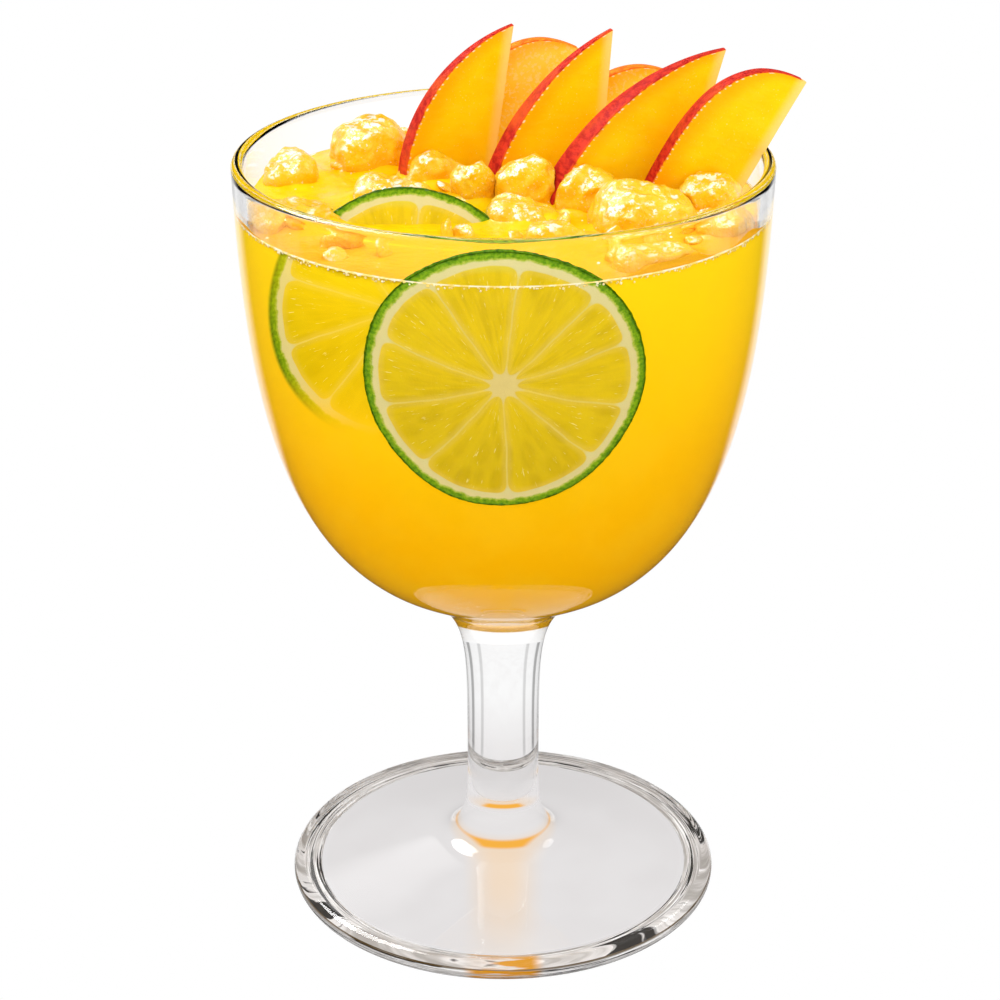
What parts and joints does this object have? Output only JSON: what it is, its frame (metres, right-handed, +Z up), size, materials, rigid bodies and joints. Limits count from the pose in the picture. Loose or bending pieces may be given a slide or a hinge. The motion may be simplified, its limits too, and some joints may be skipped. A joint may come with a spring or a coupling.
{
  "type": "frozen margarita in a goblet",
  "caption": "Yellow frozen margarita with ice, two lime wheels and a fan of red-skinned fruit slices, in a clear stemmed goblet glass.",
  "frame": {"origin": "centre of the foot's flat underside", "axes": "+Z up the stem; -Y towards the front lime wheel; the fruit fan leans to +X"},
  "size_m": [0.1044, 0.0996, 0.1689],
  "materials": {
    "clear_glass": "polished",
    "drink": "glossy cloudy liquid",
    "lime": "moist cut fruit",
    "fruit": "moist cut fruit",
    "ice": "wet melting ice"
  },
  "bodies": {
    "root": {"glass": "clear_glass", "drink": "drink", "lime_wheel_front": "lime", "lime_wheel_left": "lime", "fruit_slice_1": "fruit", "fruit_slice_2": "fruit", "fruit_slice_3": "fruit", "fruit_slice_4": "fruit", "fruit_slice_5": "fruit", "fruit_slice_6": "fruit", "ice_01": "ice", "ice_02": "ice", "ice_03": "ice", "ice_04": "ice", "ice_05": "ice", "ice_06": "ice", "ice_07": "ice", "ice_08": "ice", "ice_09": "ice", "ice_10": "ice", "ice_11": "ice", "ice_12": "ice", "ice_13": "ice", "ice_14": "ice", "ice_15": "ice"}
  },
  "joints": []
}
